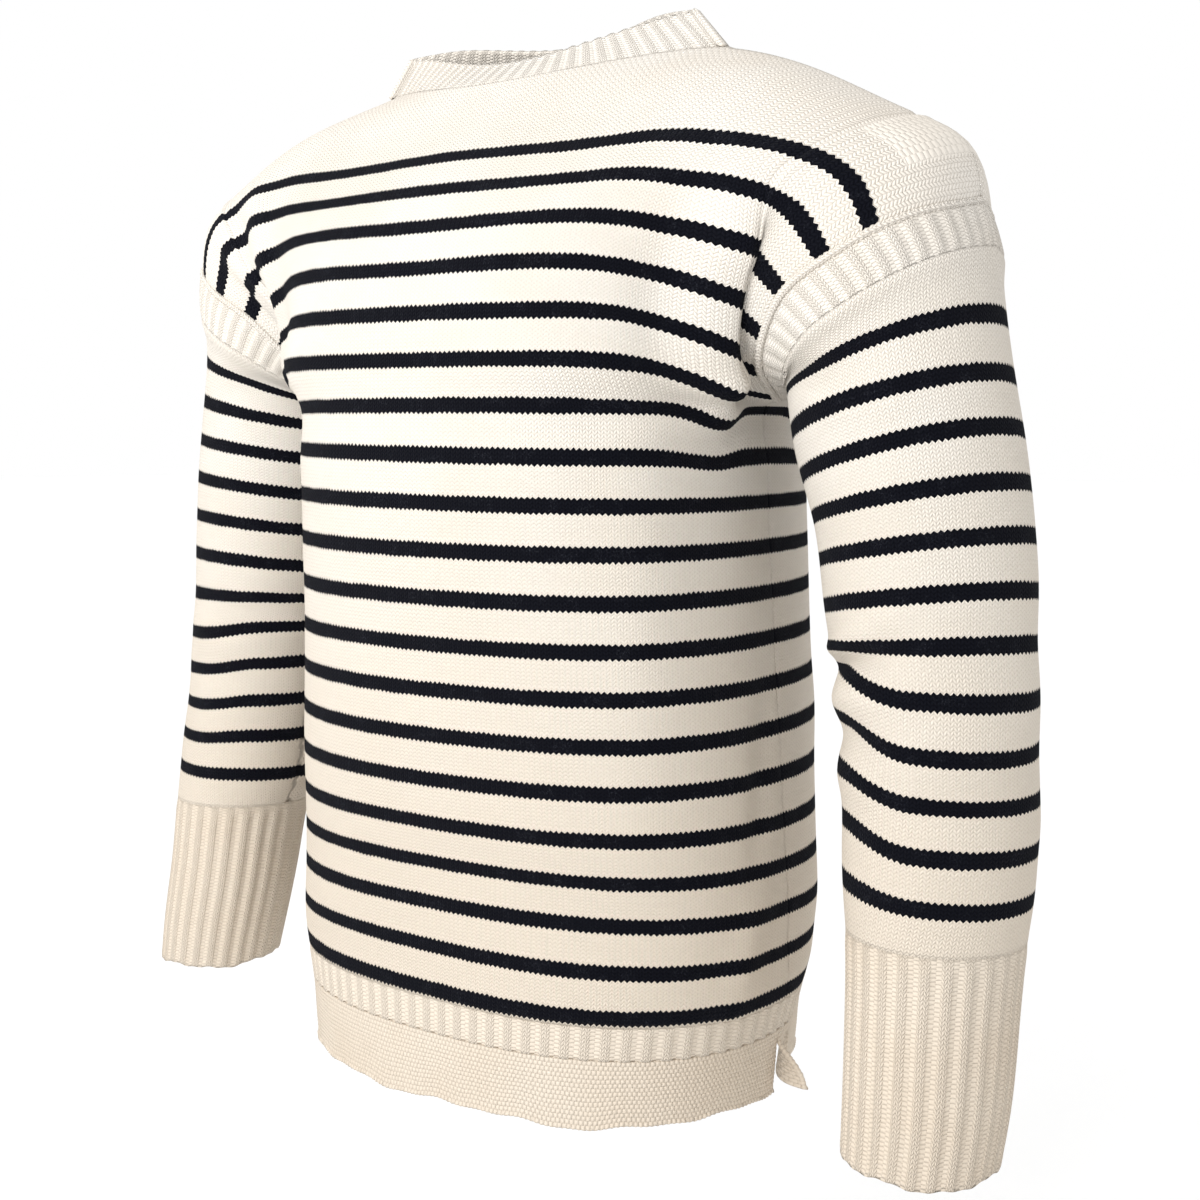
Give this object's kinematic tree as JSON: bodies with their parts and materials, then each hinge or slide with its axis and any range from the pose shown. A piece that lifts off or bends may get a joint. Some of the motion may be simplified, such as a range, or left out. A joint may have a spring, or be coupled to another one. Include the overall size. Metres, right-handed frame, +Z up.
{
  "type": "guernsey fisherman sweater",
  "caption": "Striped guernsey fisherman sweater with a stand-up ribbed neck, drop shoulders, long ribbed cuffs and a garter welt with side vents, filled out and hollow.",
  "frame": {"origin": "middle of the neck opening at the height of the neck seam, where the shoulders of the wearer carry the garment", "axes": "+Z up, the front of the garment faces -Y, +X is the wearer's left"},
  "size_m": [0.6832, 0.3, 0.6824],
  "materials": {
    "knit": "plain knitted cream wool with narrow near-black navy stripes",
    "rib": "two by two ribbed cream wool",
    "welt": "garter stitch cream wool with a knotted edge"
  },
  "bodies": {
    "root": {"front_body": "knit", "back_body": "knit", "front_welt": "welt", "back_welt": "welt", "collar": "rib", "left_sleeve": "knit", "right_sleeve": "knit", "left_cuff": "rib", "right_cuff": "rib"}
  },
  "joints": []
}
